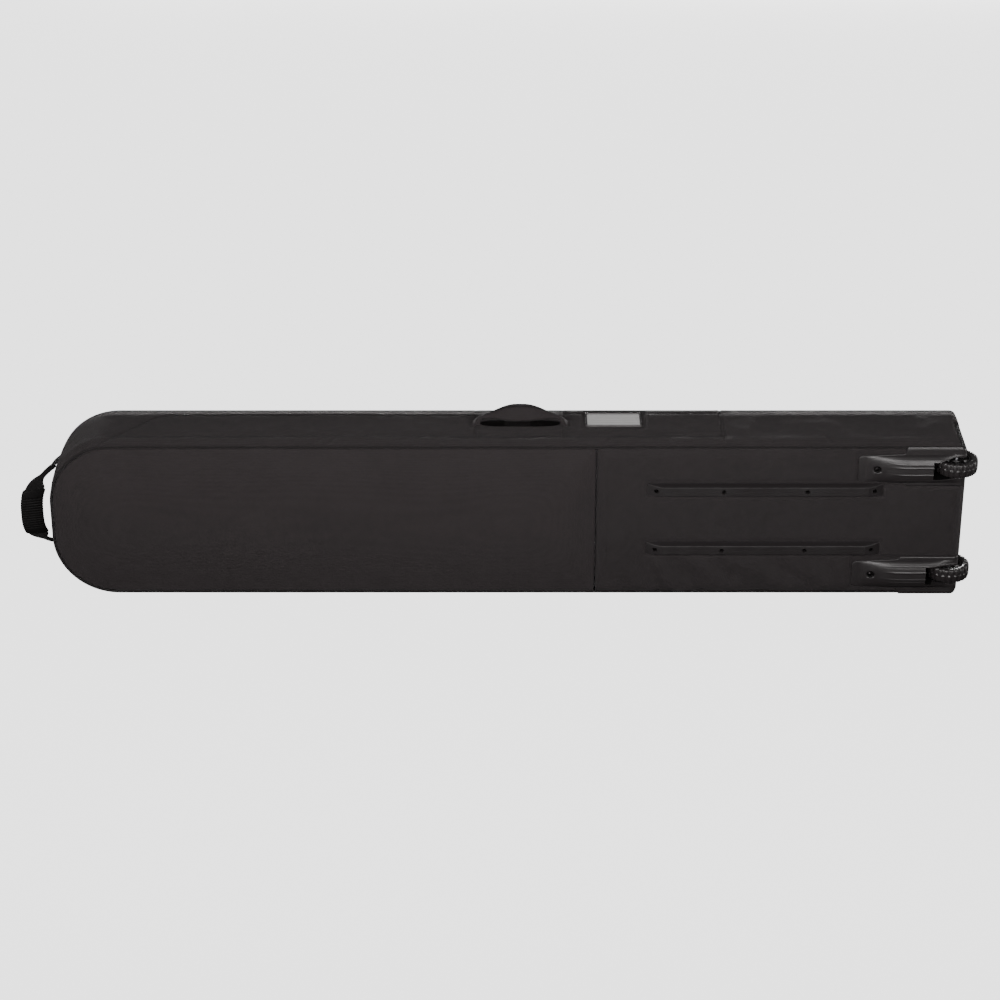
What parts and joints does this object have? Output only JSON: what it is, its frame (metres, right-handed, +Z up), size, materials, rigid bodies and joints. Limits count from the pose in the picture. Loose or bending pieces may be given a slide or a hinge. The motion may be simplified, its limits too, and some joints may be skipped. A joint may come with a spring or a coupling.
{
  "type": "wheeled snowboard bag",
  "caption": "Long padded snowboard bag with a zipped lid, wheels in moulded housings at the tail, skid rails, and carrying handles on the side and nose.",
  "frame": {"origin": "middle of the footprint, on the floor, with the bag standing on its lower long side", "axes": "+X along the length towards the wheels, +Z up across the width, the wheel side faces -Y and the zipped lid faces +Y"},
  "size_m": [1.8717, 0.1978, 0.3607],
  "materials": {
    "shell_fabric": "matte woven polyester",
    "foam": "closed-cell foam under lining cloth",
    "webbing": "woven webbing",
    "piping": "satin",
    "zip": "coil zip on woven tape",
    "zip_metal": "dark satin",
    "moulded_plastic": "satin moulding",
    "board": "plain sheet",
    "tyre": "satin",
    "steel": "satin",
    "card": "uncoated card",
    "clear_vinyl": "clear",
    "grip_rubber": "matte"
  },
  "bodies": {
    "shell": {"axle_lower": "steel", "axle_upper": "steel", "back_foam": "foam", "back_panel": "shell_fabric", "back_piping": "piping", "base_board": "board", "base_panel": "shell_fabric", "card": "card", "card_frame": "webbing", "card_window": "clear_vinyl", "end_handle_tab_lower": "webbing", "end_handle_tab_upper": "webbing", "front_rim": "shell_fabric", "housing_screw_lower": "steel", "housing_screw_upper": "steel", "lower_foam": "foam", "lower_sidewall": "shell_fabric", "nose_wall": "shell_fabric", "rail_screw_1": "steel", "rail_screw_2": "steel", "rail_screw_3": "steel", "rail_screw_4": "steel", "rail_screw_5": "steel", "rail_screw_6": "steel", "rail_screw_7": "steel", "rail_screw_8": "steel", "side_handle_patch": "shell_fabric", "skid_rail_lower": "moulded_plastic", "skid_rail_upper": "moulded_plastic", "tail_plate": "moulded_plastic", "tail_wall": "shell_fabric", "upper_foam": "foam", "upper_sidewall": "shell_fabric", "wheel_housing_lower": "moulded_plastic", "wheel_housing_upper": "moulded_plastic", "zip_fixed_half": "zip"},
    "lid": {"lid_panel": "shell_fabric", "lid_foam": "foam", "zip_lid_half": "zip"},
    "zip_slider_nose": {"zip_slider_nose": "zip_metal"},
    "zip_slider_tail": {"zip_slider_tail": "zip_metal"},
    "zip_puller_nose": {"zip_puller_nose": "zip_metal"},
    "zip_puller_tail": {"zip_puller_tail": "zip_metal"},
    "side_handle": {"side_handle": "shell_fabric"},
    "end_handle": {"end_handle_strap": "webbing", "end_handle_grip": "grip_rubber"},
    "wheel_upper": {"tyre_upper": "tyre", "hub_upper": "moulded_plastic", "bearing_upper_1": "steel", "bearing_upper_2": "steel", "spacer_upper": "steel"},
    "wheel_lower": {"tyre_lower": "tyre", "hub_lower": "moulded_plastic", "bearing_lower_1": "steel", "bearing_lower_2": "steel", "spacer_lower": "steel"}
  },
  "joints": [
    {"name": "lid_fold", "type": "hinge", "parent": "shell", "child": "lid", "pos_m": [0, 0.0911, 0.277], "axis": [1, 0, 0], "range_deg": [0, 170]},
    {"name": "side_handle_swing", "type": "hinge", "parent": "shell", "child": "side_handle", "pos_m": [0.0489, 0.0251, 0.3305], "axis": [1, 0, 0], "range_deg": [-60, 18]},
    {"name": "end_handle_swing", "type": "hinge", "parent": "shell", "child": "end_handle", "pos_m": [-0.8681, 0.0061, 0.156], "axis": [0, 0, 1], "range_deg": [-85, 30]},
    {"name": "wheel_upper_spin", "type": "hinge", "parent": "shell", "child": "wheel_upper", "pos_m": [0.8939, -0.0569, 0.276], "axis": [0, 0, 1], "continuous": true},
    {"name": "wheel_lower_spin", "type": "hinge", "parent": "shell", "child": "wheel_lower", "pos_m": [0.8939, -0.0569, 0.046], "axis": [0, 0, 1], "continuous": true},
    {"name": "zip_run_nose", "type": "slide", "parent": "lid", "child": "zip_slider_nose", "axis": [-1, 0, 0], "range_m": [0, 0.77]},
    {"name": "zip_run_tail", "type": "slide", "parent": "lid", "child": "zip_slider_tail", "axis": [1, 0, 0], "range_m": [0, 0.77]},
    {"name": "zip_puller_nose_swing", "type": "hinge", "parent": "zip_slider_nose", "child": "zip_puller_nose", "pos_m": [0.034, 0.0969, 0.03], "axis": [0, 0, -1], "range_deg": [0, 120]},
    {"name": "zip_puller_tail_swing", "type": "hinge", "parent": "zip_slider_tail", "child": "zip_puller_tail", "pos_m": [0.054, 0.0969, 0.03], "axis": [0, 0, 1], "range_deg": [0, 120]}
  ]
}
